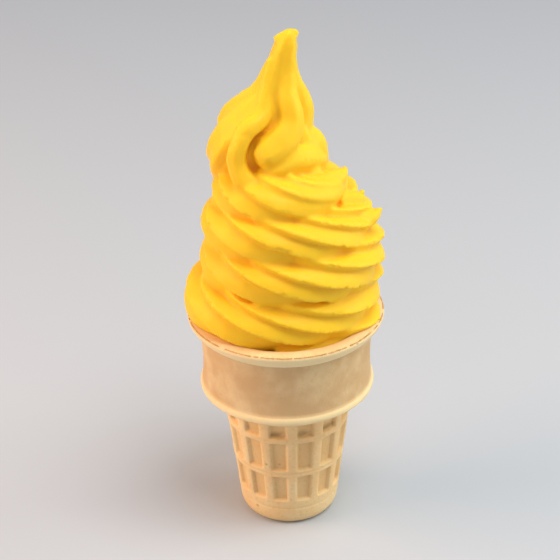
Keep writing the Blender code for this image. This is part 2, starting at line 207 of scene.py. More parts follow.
# What lies under the folds on the right and closes the gaps between them
UNDER_LEDGE = (
    (11.0, -8.0, 104.0, 2.8), (14.0, -3.0, 104.6, 3.2), (14.4, 2.0, 104.8, 3.3), (12.6, 7.0, 104.8, 3.3),
    (9.4, 10.8, 104.6, 3.3), (4.5, 13.0, 104.0, 3.0),
)
UNDER_CAP = (
    (3.4, -2.4, 124.0, 2.6), (4.8, -3.0, 120.0, 3.2), (5.2, -4.6, 114.5, 3.6), (7.2, -5.8, 111.0, 3.4),
    (8.0, -5.0, 107.0, 3.2),
)
FOLDS = (
    CAP, RIGHT_FOLD, CURL, FRONT_FOLD, LEDGE_END, UPPER_END, LOWER_END, TIP_END, UNDER_LEDGE, UNDER_CAP,
)
# The middle of the coil is solid, and its foot fills the cup: radii by height.
CORE = (
    (21.8, 54.0), (21.8, 62.0), (16.5, 67.0), (13.5, 76.0), (13.0, 84.0), (10.5, 97.0), (8.0, 106.0),
    (4.0, 112.0),
)
RIDGES = 8
RIDGE_DEPTH = 0.27
RIDGE_DEPTH_SWING = 0.03
# Each ridge has a broad upper face and a short lower one, which takes this share of its width.
RIDGE_LOWER_SHARE = 0.22
RIDGE_ROUNDNESS = 0.95
# On the right the rope's last turn is drawn out flat: the turn, how far that reaches and how much.
FLAT_TURN = 3.22
FLAT_REACH = 0.2
FLAT_SHARE = 0.8
RIDGE_DRIFT = 1.2
RIDGE_DRIFT_SWING = 0.15
RIDGE_PHASE = 0.5
PEAK_RIDGES = 5
PEAK_RIDGE_DEPTH = 0.25
PEAK_RIDGE_SHARE = 0.85
PEAK_RIDGE_START = 3.6
FOLD_RIDGES = 6
FOLD_RIDGE_DEPTH = 0.08
# No two ridges are the same: two slow waves shift them round the section, in radians, and the
# rope swells and narrows along its length.
UNEVEN_WIDTH = 0.07
WIDE_WAVES = 2
WIDE_WAVE_TURN = 2.1
NARROW_WAVES = 3
NARROW_WAVE_TURN = 4.7
UNEVEN_THICKNESS = 0.025
SWELLS_PER_TURN = 1.7

# How the soft serve meets the wafer: it lies on the lip, and its filling is clear of the wall.
LIE_ON_LIP = 0.05
PLUG_CLEAR = 0.42
FILL_TOP = 58.0
FILL_LAP = 0.8
CLEARING_WIDTH = 45.0
CLEARING_FOOT = 40.0

# Sizes of the swirl's cloudy tone, gloss and ice crystals, and where the clouds start and are full
SWIRL_NOISES = (5.0, 2.0, 0.33)
CLOUDS = (0.4, 0.7)
# How hollow a place is, in millimetres, where ridges start to take their painted light and grooves and pits
# their painted shade and glow, and where they have it in full; ridges are less than 0
RIDGE_PAINTED_LIGHT = (0.1, -0.6)
GROOVE_PAINTED_SHADE = (0.1, 0.9)
PIT_PAINTED_SHADE = (0.8, 3.0)
SWIRL_ROUGHNESS = (0.38, 0.55)
# The surface: how far above the lip its unevenness is full, how sharp a ridge is where tears
# start and where they are deepest, and the part of the noise that makes a tear
FULL_ABOVE_LIP = 2.0
RIDGE_SHARPNESS = (0.15, 0.5)
TEAR_NOISE = (0.5, 0.75)

# Mesh: sides and steps
ROPE_STEPS = 1200
ROPE_SIDES = 240
FOLD_STEPS = 220
FOLD_SIDES = 120
PLUG_SIDES = 56
LIP_SIDES = 224
CRUMB_ROUNDS = 2
# Shares by which smoothing moves points in and then out again
SMOOTH_IN = 0.5
SMOOTH_OUT = -0.52
# Rounds of averaging that show grooves, and those that show pits
GROOVE_ROUNDS = 40
PIT_ROUNDS = 200

# Kinds of node that are used most, and the ramp that is soft at both ends
MATH = "ShaderNodeMath"
NOISE = "ShaderNodeTexNoise"
RAMP = "ShaderNodeMapRange"
SOFT = {"interpolation_type": "SMOOTHSTEP"}


def linear(hex_colour):
    """An sRGB hex colour as linear red, green and blue."""
    parts = [int(hex_colour[i:i + 2], 16) / 255 for i in (1, 3, 5)]
    return tuple(p / 12.92 if p <= 0.04045 else ((p + 0.055) / 1.055) ** 2.4 for p in parts)


def length(name, description, millimetres):
    size = millimetres * MM
    return FloatProperty(name=name, description=description, default=size, unit="LENGTH", precision=5)


def degrees(name, description, value):
    return FloatProperty(name=name, description=description, default=math.radians(value), subtype="ANGLE")


def power(name, description, watts):
    return FloatProperty(name=name, description=description, default=watts, unit="POWER")


def colour(name, description, hex_colour):
    return FloatVectorProperty(
        name=name, description=description, default=linear(hex_colour), subtype="COLOR", min=0.0, max=1.0
    )


class WaferSettings(bpy.types.PropertyGroup):
    """Sizes and colours of the baked wafer."""

    panels: IntProperty(name="Panels", description="Sunk panels round the stem", default=14, min=3)
    sides_per_panel: IntProperty(name="Sides per panel", description="Mesh columns a panel", default=24)
    rib_turn: degrees("Rib turn", "How far the front rib stands to the right of the front", 3.0)
    rib_width: degrees("Rib width", "Angle that an upright rib spans", 8.6)
    wall_slope: degrees("Wall slope", "Angle over which a panel's side wall sinks", 2.2)
    recess: length("Recess", "How deep the panels are sunk", 1.0)
    recess_edge: length("Recess edge", "Height over which a panel's end wall sinks", 0.7)
    rib_crown: length("Rib crown", "How much an upright rib is rounded", 0.12)
    uneven_size: length("Unevenness size", "Width of the shallow waves of the baked surface", 7.0)
    uneven_height: length("Unevenness height", "Height of those waves", 0.16)
    ring_fine: length("Fine rings", "Ring spacing where the shape is detailed", 0.32)
    ring_coarse: length("Coarse rings", "Ring spacing on plain stretches", 0.9)
    crumbs: IntProperty(name="Crumbs", description="Crumbs along the lip's flash line", default=900)
    crumb_size: length("Crumb size", "Radius of the largest crumb", 0.27)
    gap_size: length("Gap size", "Distance between the gaps in the flash line", 2.6)
    seed: IntProperty(name="Seed", description="Seed of the crumbs' sizes", default=7)
    baked: colour("Baked", "The wafer's own colour", "#EAC58E")
    # Pale: the paler blotches, and the painted light on the bead and the lip's face
    pale: colour("Pale", "Raised and less baked places", "#F3E0B0")
    # Toasted: the mottling, the flash crumbs, and the sunk panels' darkening, which is partly painted shade
    # and partly longer baking
    toasted: colour("Toasted", "Sunk panels, where the batter baked longest", "#D3A668")
    # Plain band: painted shade, the band darkened and greyed for the shade under the lip's overhang
    plain: colour("Plain band", "The plain band, baked against the smooth mould", "#C6A276")
    flash: colour("Flash", "Batter that crept between the moulds", "#BC9350")
    scorched: colour("Scorched", "Brown patches and specks", "#7E5A2A")


class SwirlSettings(bpy.types.PropertyGroup):
    """Sizes and colours of the soft serve."""

    first_cell: length("First cell", "Voxel size that joins the coils", 0.45)
    cell: length("Cell", "Voxel size of the finished surface", 0.45)
    smoothing: IntProperty(name="Smoothing", description="Rounds of smoothing", default=2, min=0)
    wave_size: length("Wave size", "Width of the broad unevenness", 6.0)
    wave_height: length("Wave height", "Height of the broad unevenness", 0.5)
    grain_size: length("Grain size", "Width of the fine unevenness", 1.6)
    grain_height: length("Grain height", "Height of the fine unevenness", 0.12)
    nick_size: length("Nick size", "Length of the torn places along the ridges", 2.8)
    nick_depth: length("Nick depth", "Depth of the torn places along the ridges", 0.65)
    # Ridge: the painted light on the ridges, and the cloudy tone
    ridge: colour("Ridge", "Raised ridges", "#F8CB2E")
    flesh: colour("Flesh", "The soft serve's own colour", "#FAC92C")
    # Hollow: painted shade and deep-orange glow in the grooves and pits
    hollow: colour("Hollow", "Deep grooves and hollows", "#F2A022")
    scatter: length("Scatter", "How far light travels in the soft serve", 2.0)


class StageSettings(bpy.types.PropertyGroup):
    """Floor and light."""

    floor: colour("Floor", "The plain pale floor", "#BCC3CC")
    floor_width: length("Floor width", "Side of the floor", 6000.0)
    key_power: power("Key", "Soft light from high on the right", 4.7)
    side_power: power("Side", "Low light from the right", 2.0)
    warm_power: power("Warm", "Warm light from the left", 4.0)
    sky: FloatProperty(name="Sky", description="Strength of the even light all round", default=0.49)


def named(settings):
    """The settings' values by the names that they show, which the trees' inputs have too."""
    shown = settings.bl_rna.properties
    return {shown[key].name: getattr(settings, key) for key in settings.__annotations__}


def fill(tree, made, inputs):
    """Sets or links a node's inputs, by name or number. A node given as a value is its first output."""
    for name, value in inputs.items():
        if isinstance(value, bpy.types.Node):
            value = value.outputs[0]
        if isinstance(value, bpy.types.NodeSocket):
            tree.links.new(value, made.inputs[name])
        else:
            made.inputs[name].default_value = value


def node(tree, kind, *inputs, **settings):
    """Adds a node: settings are its properties, and inputs are given in order or in one dictionary."""
    made = tree.nodes.new(kind)
    for name, value in settings.items():
        setattr(made, name, value)
    by_name = inputs and isinstance(inputs[0], dict)
    fill(tree, made, inputs[0] if by_name else dict(enumerate(inputs)))
    return made


def rgba(colour_value):
    return (*colour_value, 1.0)


def shape_tree(name, counts, sizes):
    """A Geometry Nodes tree whose named inputs are counts, sizes and its material, and their outputs."""
    tree = bpy.data.node_groups.new(name, "GeometryNodeTree")
    tree.interface.new_socket("Geometry", in_out="OUTPUT", socket_type="NodeSocketGeometry")
    kinds = {"Geometry": "Geometry", **dict.fromkeys(counts, "Int"), **dict.fromkeys(sizes, "Float")}
    for label, kind in {**kinds, "Material": "Material"}.items():
        tree.interface.new_socket(label, in_out="INPUT", socket_type=f"NodeSocket{kind}")
    return tree, tree.nodes.new("NodeGroupInput").outputs


def end_tree(tree, geometry, material):
    """Ends a tree with plain geometry in its material."""
    real = node(tree, "GeometryNodeRealizeInstances", geometry)
    dressed = node(tree, "GeometryNodeSetMaterial", {"Geometry": real, "Material": material})
    node(tree, "NodeGroupOutput", dressed)


def grow(source, tree, values):
    """Gives source's mesh the tree's result, with the named inputs set first."""
    modifier = source.modifiers.new(tree.name, "NODES")
    modifier.node_group = tree
    for item in tree.interface.items_tree:
        if item.item_type == "SOCKET" and item.in_out == "INPUT" and item.name in values:
            modifier[item.identifier] = values[item.name]
    return bake(source)


def bake(obj):
    """Replaces the object's mesh with its evaluated one and drops the modifiers."""
    bpy.context.view_layer.update()
    graph = bpy.context.evaluated_depsgraph_get()
    mesh = bpy.data.meshes.new_from_object(obj.evaluated_get(graph))
    obj.modifiers.clear()
    old = obj.data
    obj.data = mesh
    bpy.data.meshes.remove(old)
    mesh.name = obj.name
    return obj


def object_from(name, vertices, edges, faces):
    mesh = bpy.data.meshes.new(name)
    mesh.from_pydata([tuple(v) for v in vertices], edges, faces)
    mesh.update()
    obj = bpy.data.objects.new(name, mesh)
    bpy.context.scene.collection.objects.link(obj)
    return obj


def turn_outwards(obj):
    """Recalculates the normals of a closed mesh so that they point out."""
    work = bmesh.new()
    work.from_mesh(obj.data)
    bmesh.ops.recalc_face_normals(work, faces=work.faces)
    work.to_mesh(obj.data)
    work.free()


def finish_piece(obj, material, slot, *replaced):
    """Gives a piece its one material and smooth shading, hangs it under the root and hides the solids it
    replaces.
    """
    obj.data.materials.clear()
    obj.data.materials.append(material)
    obj.data.shade_smooth()
    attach(obj, "root")
    if replaced:
        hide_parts(*replaced)


def new_material(name):
    """A material of one principled shader, with its tree and the shader."""
    material = bpy.data.materials.new(name)
    material.use_nodes = True
    return material, material.node_tree, material.node_tree.nodes["Principled BSDF"]


def tinted(tree, base, tints):
    """The base colour under tints, each given as where it lies, its largest share and its colour."""
    for where, most, tint in tints:
        share = node(tree, MATH, where, most, operation="MULTIPLY")
        mix = node(tree, "ShaderNodeMix", {0: share, 6: base, 7: rgba(tint)}, data_type="RGBA")
        base = mix.outputs[2]
    return base


# Wafer

def stem_radius(height):
    """Outer radius of the tapering part, drawn in at the foot, with its moulding lines."""
    pull = max(0.0, 1.0 - height / FOOT_PULL_HEIGHT)
    radius = FOOT_RADIUS + TAPER * height - FOOT_PULL_IN * pull ** 3
    for middle, half_width, depth in MOULD_LINES:
        off = abs(height - middle) / half_width
        if off < 1.0:
            radius -= depth * math.cos(off * math.pi / 2) ** 2
    return radius


def softened(points):
    """The line with its corners cut off and its ends kept."""
    cut = [points[0]]
    for (ax, ay), (bx, by) in zip(points[:-1], points[1:]):
        for share in (CORNER_CUT, 1.0 - CORNER_CUT):
            cut.append((ax + (bx - ax) * share, ay + (by - ay) * share))
    return cut + [points[-1]]


def spaced(points, spacing):
    """The same line with points at about the spacing that a function of the height gives."""
    out = [points[0]]
    for (ax, ay), (bx, by) in zip(points[:-1], points[1:]):
        run = math.hypot(bx - ax, by - ay)
        steps = max(1, round(run / spacing((ay + by) / 2)))
        out += [(ax + (bx - ax) * k / steps, ay + (by - ay) * k / steps) for k in range(1, steps + 1)]
    return out


def wafer_section(settings):
    """Half section of the wafer from the middle of its foot over the lip to the middle of its floor,
    and how many of its points lie outside."""
    fine = settings.ring_fine / MM
    coarse = settings.ring_coarse / MM
    steps = round(STEM_TOP / fine)
    stem = [(stem_radius(STEM_TOP * k / steps), STEM_TOP * k / steps) for k in range(steps + 1)]
    foot = [(0.0, 0.0), (stem[0][0] / 2, 0.0)]
    band_low, band_high = CUP_OUTSIDE[BAND_START][1], CUP_OUTSIDE[BAND_END][1]
    cup = softened([stem[-1]] + list(CUP_OUTSIDE) + [CUP_INSIDE[0]])
    cup = spaced(cup, lambda height: coarse if band_low < height < band_high else fine)
    inner = list(CUP_INSIDE) + [(stem_radius(h) - WALL, h) for h in STEM_INSIDE_HEIGHTS]
    inner = softened(inner)[1:] + [(INNER_FLOOR_RADIUS, FLOOR), (0.0, FLOOR)]
    outside = foot + stem + cup[1:]
    return outside + inner, len(outside)


def wafer_tree():
    """Turns the section round the axis, sinks the panels by rule, and makes the surface uneven."""
    counts = ["Sides", "Outside points", "Panels"]
    sizes = [
        "Rib turn", "Rib half width", "Wall slope", "Recess", "Recess edge", "Rib crown",
        "Unevenness size", "Unevenness height", "Bead low", "Bead high", "Lip low", "Lip high",
    ]
    sizes += [f"Row {k + 1} {end}" for k in range(len(PANEL_ROWS)) for end in ("low", "high")]
    tree, given = shape_tree("wafer_moulding", counts, sizes)
    add = partial(node, tree)

    # A sheet whose rows are the section's points and whose columns go round the axis
    position = add("GeometryNodeInputPosition")
    place = add("ShaderNodeSeparateXYZ", position)
    rings = add("GeometryNodeAttributeDomainSize", given["Geometry"])
    columns = add(MATH, given["Sides"], 1.0, operation="ADD")
    sheet = add("GeometryNodeMeshGrid", 1.0, 1.0, rings, columns)
    up_share = add(MATH, place.outputs["X"], 0.5, operation="ADD")
    last_ring = add(MATH, rings, 1.0, operation="SUBTRACT")
    up_rings = add(MATH, up_share, last_ring, operation="MULTIPLY")
    ring = add(MATH, up_rings, operation="ROUND")
    round_share = add(MATH, place.outputs["Y"], 0.5, operation="ADD")
    angle = add(MATH, round_share, 2 * math.pi, operation="MULTIPLY")
    section = add("GeometryNodeSampleIndex", {
        "Geometry": given["Geometry"], "Value": position, "Index": ring,
    }, data_type="FLOAT_VECTOR", domain="POINT")
    drawn = add("ShaderNodeSeparateXYZ", section)
    radius, height = drawn.outputs["X"], drawn.outputs["Z"]
    outside = add(MATH, ring, given["Outside points"], operation="LESS_THAN")

    # Angle to the middle of the nearest upright rib, and how far the side wall has sunk there
    pitch = add(MATH, 2 * math.pi, given["Panels"], operation="DIVIDE")
    right_half = add(MATH, pitch, 2.0, operation="DIVIDE")
    left_half = add(MATH, pitch, -2.0, operation="DIVIDE")
    from_front = add(MATH, angle, math.pi / 2, operation="ADD")
    from_rib = add(MATH, from_front, given["Rib turn"], operation="SUBTRACT")
    nearest = add(MATH, from_rib, right_half, left_half, operation="WRAP")
    off_rib = add(MATH, nearest, operation="ABSOLUTE")
    wall_foot = add(MATH, given["Rib half width"], given["Wall slope"], operation="ADD")
    across = add(RAMP, off_rib, given["Rib half width"], wall_foot, **SOFT)

    def passed(level, below, above):
        """From 0 to 1 as the height goes from below a level to above it."""
        start = add(MATH, level, below, operation="SUBTRACT")
        end = add(MATH, level, above, operation="ADD")
        return add(RAMP, height, start, end, **SOFT)

    # Rows of panels, on the outside only
    rows = 0.0
    for k in range(len(PANEL_ROWS)):
        start = passed(given[f"Row {k + 1} low"], 0.0, given["Recess edge"])
        end = passed(given[f"Row {k + 1} high"], given["Recess edge"], 0.0)
        within = add(MATH, start, end, operation="SUBTRACT")
        rows = add(MATH, rows, within, operation="ADD")
    moulded = add(MATH, rows, outside, operation="MULTIPLY")
    sunk = add(MATH, moulded, across, operation="MULTIPLY")

    # The ribs' faces are a little round
    share = add(MATH, off_rib, given["Rib half width"], operation="DIVIDE")
    squared = add(MATH, share, share, operation="MULTIPLY")
    capped = add(MATH, squared, 1.0, operation="MINIMUM")
    crown = add(MATH, capped, given["Rib crown"], operation="MULTIPLY")
    rounding = add(MATH, crown, moulded, operation="MULTIPLY")
    depth = add(MATH, sunk, given["Recess"], rounding, operation="MULTIPLY_ADD")
    radius = add(MATH, radius, depth, operation="SUBTRACT")
    sides = [add(MATH, angle, operation=way) for way in ("COSINE", "SINE")]
    sides = [add(MATH, radius, side, operation="MULTIPLY") for side in sides]
    lathed_place = add("ShaderNodeCombineXYZ", *sides, height)

    # The longest baked place is the lower end of the top row's panels
    top_low = given[f"Row {len(PANEL_ROWS)} low"]
    fading = passed(top_low, -SCORCH_DARKEST * MM, SCORCH_END * MM)
    low_end = add(MATH, 1.0, fading, operation="SUBTRACT")
    started = passed(top_low, 0.0, SCORCH_DARKEST * MM)
    scorch = add(MATH, low_end, started, operation="MULTIPLY")
    scorch = add(MATH, scorch, sunk, operation="MULTIPLY")

    # The bead and the lip's face get painted light, a painted highlight on the bead and painted bounce light
    # on the lip's face; the plain band between them gets painted shade from the lip over it
    edge = MARK_EDGE * MM
    levels = [passed(given[level], edge, edge) for level in ("Bead low", "Bead high", "Lip low", "Lip high")]
    steps = [add(MATH, low, high, operation="SUBTRACT") for low, high in zip(levels, levels[1:])]
    bead, band, lip = (add(MATH, step, outside, operation="MULTIPLY") for step in steps)
    raised = add(MATH, bead, lip, operation="ADD")

    marked = sheet
    for label, value in zip(WAFER_MARKS, (sunk, scorch, raised, band)):
        marked = add("GeometryNodeStoreNamedAttribute", {
            "Geometry": marked, "Name": label, "Value": value,
        }, data_type="FLOAT", domain="POINT")
    lathed = add("GeometryNodeSetPosition", {"Geometry": marked, "Position": lathed_place})
    closed = add("GeometryNodeMergeByDistance", {"Geometry": lathed, "Distance": SAME_POINT * MM})

    # Shallow waves of the baked surface, none under the foot
    fineness = add(MATH, 1.0, given["Unevenness size"], operation="DIVIDE")
    waves = add(NOISE, {"Vector": position, "Scale": fineness, "Detail": 3.0, "Roughness": 0.6})
    swing = add(MATH, waves, WAVE_MIDDLE, operation="SUBTRACT")
    swing = add(MATH, swing, given["Unevenness height"], operation="MULTIPLY")
    above_foot = add(RAMP, place.outputs["Z"], WAVES_START * MM, WAVES_FULL * MM, **SOFT)
    swing = add(MATH, swing, above_foot, operation="MULTIPLY")
    normal = add("GeometryNodeInputNormal")
    push = add("ShaderNodeVectorMath", {"Vector": normal, "Scale": swing}, operation="SCALE")
    uneven = add("GeometryNodeSetPosition", {"Geometry": closed, "Offset": push})
    end_tree(tree, uneven, given["Material"])
    return tree


def baked_wafer(settings):
    """Baked wafer: a starch batter blown up between hot moulds. Dry, matt and finely porous, and a
    little translucent; painted light on the bead and the lip's face, painted shade on the plain band,
    and the sunk panels browner, partly as painted shade and partly from longer baking."""
    material, tree, shader = new_material("baked_wafer")
    add = partial(node, tree)
    at = add("ShaderNodeTexCoord").outputs["Object"]
    sunk, scorch, raised, band = (
        add("ShaderNodeAttribute", attribute_name=mark).outputs["Fac"] for mark in WAFER_MARKS
    )
    blotch, mottle, burn, sprinkle, gloss, tooth = (
        add(NOISE, {"Vector": at, "Scale": 1.0 / (size * MM), "Detail": detail, "Roughness": rough})
        for size, detail, rough in WAFER_NOISES
    )
    specks, pores = (
        add("ShaderNodeTexVoronoi", {"Vector": at, "Scale": 1.0 / (size * MM)}, feature=feature)
        for size, feature in ((SPECK_SPACING, "F1"), (PORE_SPACING, "SMOOTH_F1"))
    )
    # Blotches about 9 mm wide, and mottling under a millimetre
    blotch = add(RAMP, blotch, *BLOTCHES, **SOFT)
    mottle = add(RAMP, mottle, *MOTTLING, **SOFT)
    burnt = add(MATH, scorch, add(RAMP, burn, *BURNT_PATCHES, **SOFT), operation="MULTIPLY")
    # Few small brown specks
    speck = add(RAMP, specks.outputs["Distance"], *SPECKS, **SOFT)
    speck = add(MATH, speck, add(RAMP, sprinkle, *SPECKLED_PLACES, **SOFT), operation="MULTIPLY")
    base = tinted(tree, rgba(settings.baked), (
        # Painted shade on the plain band under the lip, then random blotches and mottling
        (band, 0.75, settings.plain), (blotch, 0.45, settings.pale), (mottle, 0.3, settings.toasted),
        # Painted light on the bead and the lip's face; sunk panels browner, partly as painted shade; burnt
        # patches and specks
        (raised, 0.7, settings.pale), (sunk, 0.38, settings.toasted), (burnt, 0.6, settings.scorched),
        (speck, 0.4, settings.scorched),
    ))
    # Pores about half a millimetre apart, over finer tooth
    pore = add(RAMP, pores.outputs["Distance"], *PORES, **SOFT)
    grain = add(MATH, pore, tooth, operation="ADD")
    fill(tree, shader, {
        "Base Color": base,
        "Roughness": add(RAMP, gloss, 0.0, 1.0, *WAFER_ROUGHNESS),
        "Normal": add("ShaderNodeBump", {"Strength": 0.35, "Distance": 0.08 * MM, "Height": grain}),
        "IOR": 1.45, "Specular IOR Level": 0.35,
        "Subsurface Weight": 0.25, "Subsurface Radius": (1.0, 0.6, 0.3), "Subsurface Scale": 1.2 * MM,
    })
    return material


def scorched_batter(settings):
    """Batter that crept between the moulds and baked dark: rough brown crumbs."""
    material, tree, shader = new_material("scorched_batter")
    at = node(tree, "ShaderNodeTexCoord").outputs["Object"]
    spots = node(tree, NOISE, {"Vector": at, "Scale": 1.0 / (CRUMB_SPOTS * MM), "Detail": 2.0})
    brown = node(tree, RAMP, spots, *BROWN_SPOTS)
    base = tinted(tree, rgba(settings.toasted), [(brown, 1.0, settings.flash)])
    fill(tree, shader, {"Base Color": base, "Roughness": 0.8})
    return material


def crumb_tree():
    """Crumbs along a line: random sizes and gaps, each drawn out along the line."""
    tree, given = shape_tree("flash_crumbs", ["Seed"], ["Crumb size", "Gap size"])
    add = partial(node, tree)
    position = add("GeometryNodeInputPosition")
    place = add("ShaderNodeSeparateXYZ", position)
    fineness = add(MATH, 1.0, given["Gap size"], operation="DIVIDE")
    gaps = add(NOISE, {"Vector": position, "Scale": fineness, "Detail": 2.0})
    there = add("FunctionNodeCompare", gaps, CRUMB_GAPS, data_type="FLOAT", operation="GREATER_THAN")
    azimuth = add(MATH, place.outputs["Y"], place.outputs["X"], operation="ARCTAN2")
    along = add(MATH, azimuth, math.pi / 2, operation="ADD")
    facing = add("ShaderNodeCombineXYZ", {"Z": along})
    spread = add("FunctionNodeRandomValue", {
        "Min": CRUMB_LEAST, "Max": CRUMB_MOST, "Seed": given["Seed"],
    }, data_type="FLOAT_VECTOR")
    size = add("ShaderNodeVectorMath", {"Vector": spread, "Scale": given["Crumb size"]}, operation="SCALE")
    ball = add("GeometryNodeMeshIcoSphere", {"Radius": 1.0, "Subdivisions": CRUMB_ROUNDS})
    placed = add("GeometryNodeInstanceOnPoints", {
        "Points": given["Geometry"], "Instance": ball, "Selection": there, "Scale": size, "Rotation": facing,
    })
    end_tree(tree, placed, given["Material"])
    return tree


# Swirl

def spline(knots, values, at):
    """Natural cubic spline through the values, read at many places."""
    knots = np.asarray(knots, float)
    values = np.asarray(values, float)
    gaps = np.diff(knots)
    slopes = np.diff(values, axis=0) / gaps[:, None]
    count = len(knots)
    matrix = np.eye(count)
    right = np.zeros_like(values)
    for i in range(1, count - 1):
        matrix[i, i - 1] = gaps[i - 1]
        matrix[i, i] = 2 * (gaps[i - 1] + gaps[i])
        matrix[i, i + 1] = gaps[i]
        right[i] = 6 * (slopes[i] - slopes[i - 1])
    bend = np.linalg.solve(matrix, right)
    k = np.clip(np.searchsorted(knots, at) - 1, 0, count - 2)
    t = (at - knots[k])[:, None]
    gap = gaps[k][:, None]
    rest = gap - t
    curve = (bend[k] * rest ** 3 + bend[k + 1] * t ** 3) / (6 * gap)
    line = (values[k] / gap - bend[k] * gap / 6) * rest
    return curve + line + (values[k + 1] / gap - bend[k + 1] * gap / 6) * t


def rope_line(steps):
    """Centre points, half thickness and turn along the rope."""
    rows = np.array(ROPE)
    turn, out, height = rows[:, 0], rows[:, 1], rows[:, 2]
    arc = 2 * math.pi * np.diff(turn) * (np.abs(out[1:]) + np.abs(out[:-1])) / 2
    lengths = np.sqrt(arc ** 2 + np.diff(out) ** 2 + np.diff(height) ** 2)
    knots = np.concatenate([[0.0], np.cumsum(lengths)])
    at = np.linspace(0.0, knots[-1], steps)
    turn, out, height, thick = spline(knots, rows, at).T
    angle = math.radians(270.0) + 2 * math.pi * turn
    centres = np.stack([out * np.cos(angle), out * np.sin(angle), height], axis=1)
    return centres, thick, turn


def carried_frames(centres):
    """Two side directions at each point, carried along the line without turning about it."""
    along = np.gradient(centres, axis=0)
    along /= np.linalg.norm(along, axis=1)[:, None]
    out = np.zeros_like(centres)
    side = np.array((centres[0, 0], centres[0, 1], 0.0))
    for i, direction in enumerate(along):
        side = side - direction * (side @ direction)
        side = side / np.linalg.norm(side)
        out[i] = side
    return out, np.cross(along, out)


def star(angle, ridges, depth):
    """Share of the full radius round a star section: leaning ridges with a broad upper face."""
    place = (ridges * angle / (2 * math.pi)) % 1.0
    below = place / RIDGE_LOWER_SHARE
    above = (1.0 - place) / (1.0 - RIDGE_LOWER_SHARE)
    return 1.0 - depth * np.minimum(below, above) ** RIDGE_ROUNDNESS


def rope_section(angle, turn):
    """Radius share round the rope at a turn: many ridges, fewer on the drawn-up end, all uneven."""
    azimuth = math.radians(270.0) + 2 * math.pi * turn
    warped = angle - 2 * math.pi * (RIDGE_DRIFT * turn + RIDGE_PHASE / RIDGES)
    warped = warped + RIDGE_DRIFT_SWING * np.sin(azimuth)
    warped = warped + UNEVEN_WIDTH * np.sin(WIDE_WAVES * warped + WIDE_WAVE_TURN * turn)
    warped = warped + UNEVEN_WIDTH / 2 * np.sin(NARROW_WAVES * warped - NARROW_WAVE_TURN * turn)
    depth = RIDGE_DEPTH + RIDGE_DEPTH_SWING * np.cos(azimuth)
    depth = depth * (1.0 - FLAT_SHARE * np.exp(-((turn - FLAT_TURN) / FLAT_REACH) ** 2))
    many = star(warped, RIDGES, depth)
    few = star(warped, PEAK_RIDGES, PEAK_RIDGE_DEPTH)
    drawn = np.clip((turn - PEAK_RIDGE_START) / (ROPE[-1][0] - PEAK_RIDGE_START), 0.0, 1.0)
    drawn = PEAK_RIDGE_SHARE * drawn * drawn * (3 - 2 * drawn)
    swell = 1.0 + UNEVEN_THICKNESS * np.sin(2 * math.pi * SWELLS_PER_TURN * turn + angle)
    return ((1 - drawn) * many + drawn * few) * swell


def tube(centres, thick, shares):
    """Points and quads of a closed tube round a line of centres, whose radius varies round each ring."""
    angle = np.linspace(0, 2 * math.pi, shares.shape[1], endpoint=False)
    out, up = carried_frames(centres)
    across = np.cos(angle)[None, :, None] * out[:, None, :] + np.sin(angle)[None, :, None] * up[:, None, :]
    rings = centres[:, None, :] + (thick[:, None] * shares)[:, :, None] * across
    return closed_skin(rings)


def fold_tube(fold):
    """A ridged tube along a fold's places."""
    rows = np.array(fold)
    lengths = np.linalg.norm(np.diff(rows[:, :3], axis=0), axis=1)
    knots = np.concatenate([[0.0], np.cumsum(lengths)])
    line = spline(knots, rows, np.linspace(0.0, knots[-1], FOLD_STEPS))
    angle = np.linspace(0, 2 * math.pi, FOLD_SIDES, endpoint=False)
    shares = np.tile(star(angle, FOLD_RIDGES, FOLD_RIDGE_DEPTH), (FOLD_STEPS, 1))
    return tube(line[:, :3], line[:, 3], shares)


def closed_skin(rings):
    """Points and faces between rings of equal length, closed by a fan at both ends."""
    steps, sides = rings.shape[:2]
    points = np.concatenate([rings.reshape(-1, 3), [rings[0].mean(axis=0)], [rings[-1].mean(axis=0)]]) * MM
    k = np.arange(sides)
    after = (k + 1) % sides
    faces = []
    for r in range(steps - 1):
        low, high = r * sides, (r + 1) * sides
        faces += np.stack([low + k, low + after, high + after, high + k], axis=1).tolist()
    last = (steps - 1) * sides
    faces += np.stack([after, k, np.full(sides, steps * sides)], axis=1).tolist()
    faces += np.stack([last + k, last + after, np.full(sides, steps * sides + 1)], axis=1).tolist()
    return points, faces


def turned(profile, sides):
    """Points and faces of a solid of revolution, from a profile that starts and ends on the axis."""
    angle = np.linspace(0, 2 * math.pi, sides, endpoint=False)
    rings = [
        np.stack([radius * np.cos(angle), radius * np.sin(angle), np.full(sides, height)], axis=1)
        for radius, height in profile[1:-1]
    ]
    return closed_skin(np.array(rings))


def moved_in(profile, distance):
    """The profile moved to its left by a distance, each point along the mean of its sides' normals."""
    points = [Vector(p) for p in profile]
    moved = []
    for i, point in enumerate(points):
        before = points[max(i - 1, 0)]
        after = points[min(i + 1, len(points) - 1)]
        along = (after - before).normalized()
        moved.append((point.x - along.y * distance, point.y + along.x * distance))
    return moved


def inside_radius(height):
    """Radius of the cup's inner wall at a height above its floor."""
    radii, heights = zip(*reversed(CUP_INSIDE))
    return float(np.interp(height, heights, radii))


def clearing_profile():
    """What the swirl stays out of: the lip and everything below the filling's top."""
    rim_top = list(CUP_OUTSIDE[-LIP_TOP_POINTS:])
    lip = rim_top + [point for point in CUP_INSIDE if point[1] > FILL_TOP]
    lip.append((inside_radius(FILL_TOP), FILL_TOP))
    lip = moved_in(lip, -LIE_ON_LIP)[1:-1]
    top = lip[0][1]
    profile = [(0.0, FILL_TOP), (inside_radius(FILL_TOP) - LIE_ON_LIP, FILL_TOP)]
    profile += list(reversed(lip))
    return profile + [(CLEARING_WIDTH, top), (CLEARING_WIDTH, CLEARING_FOOT), (0.0, CLEARING_FOOT)]


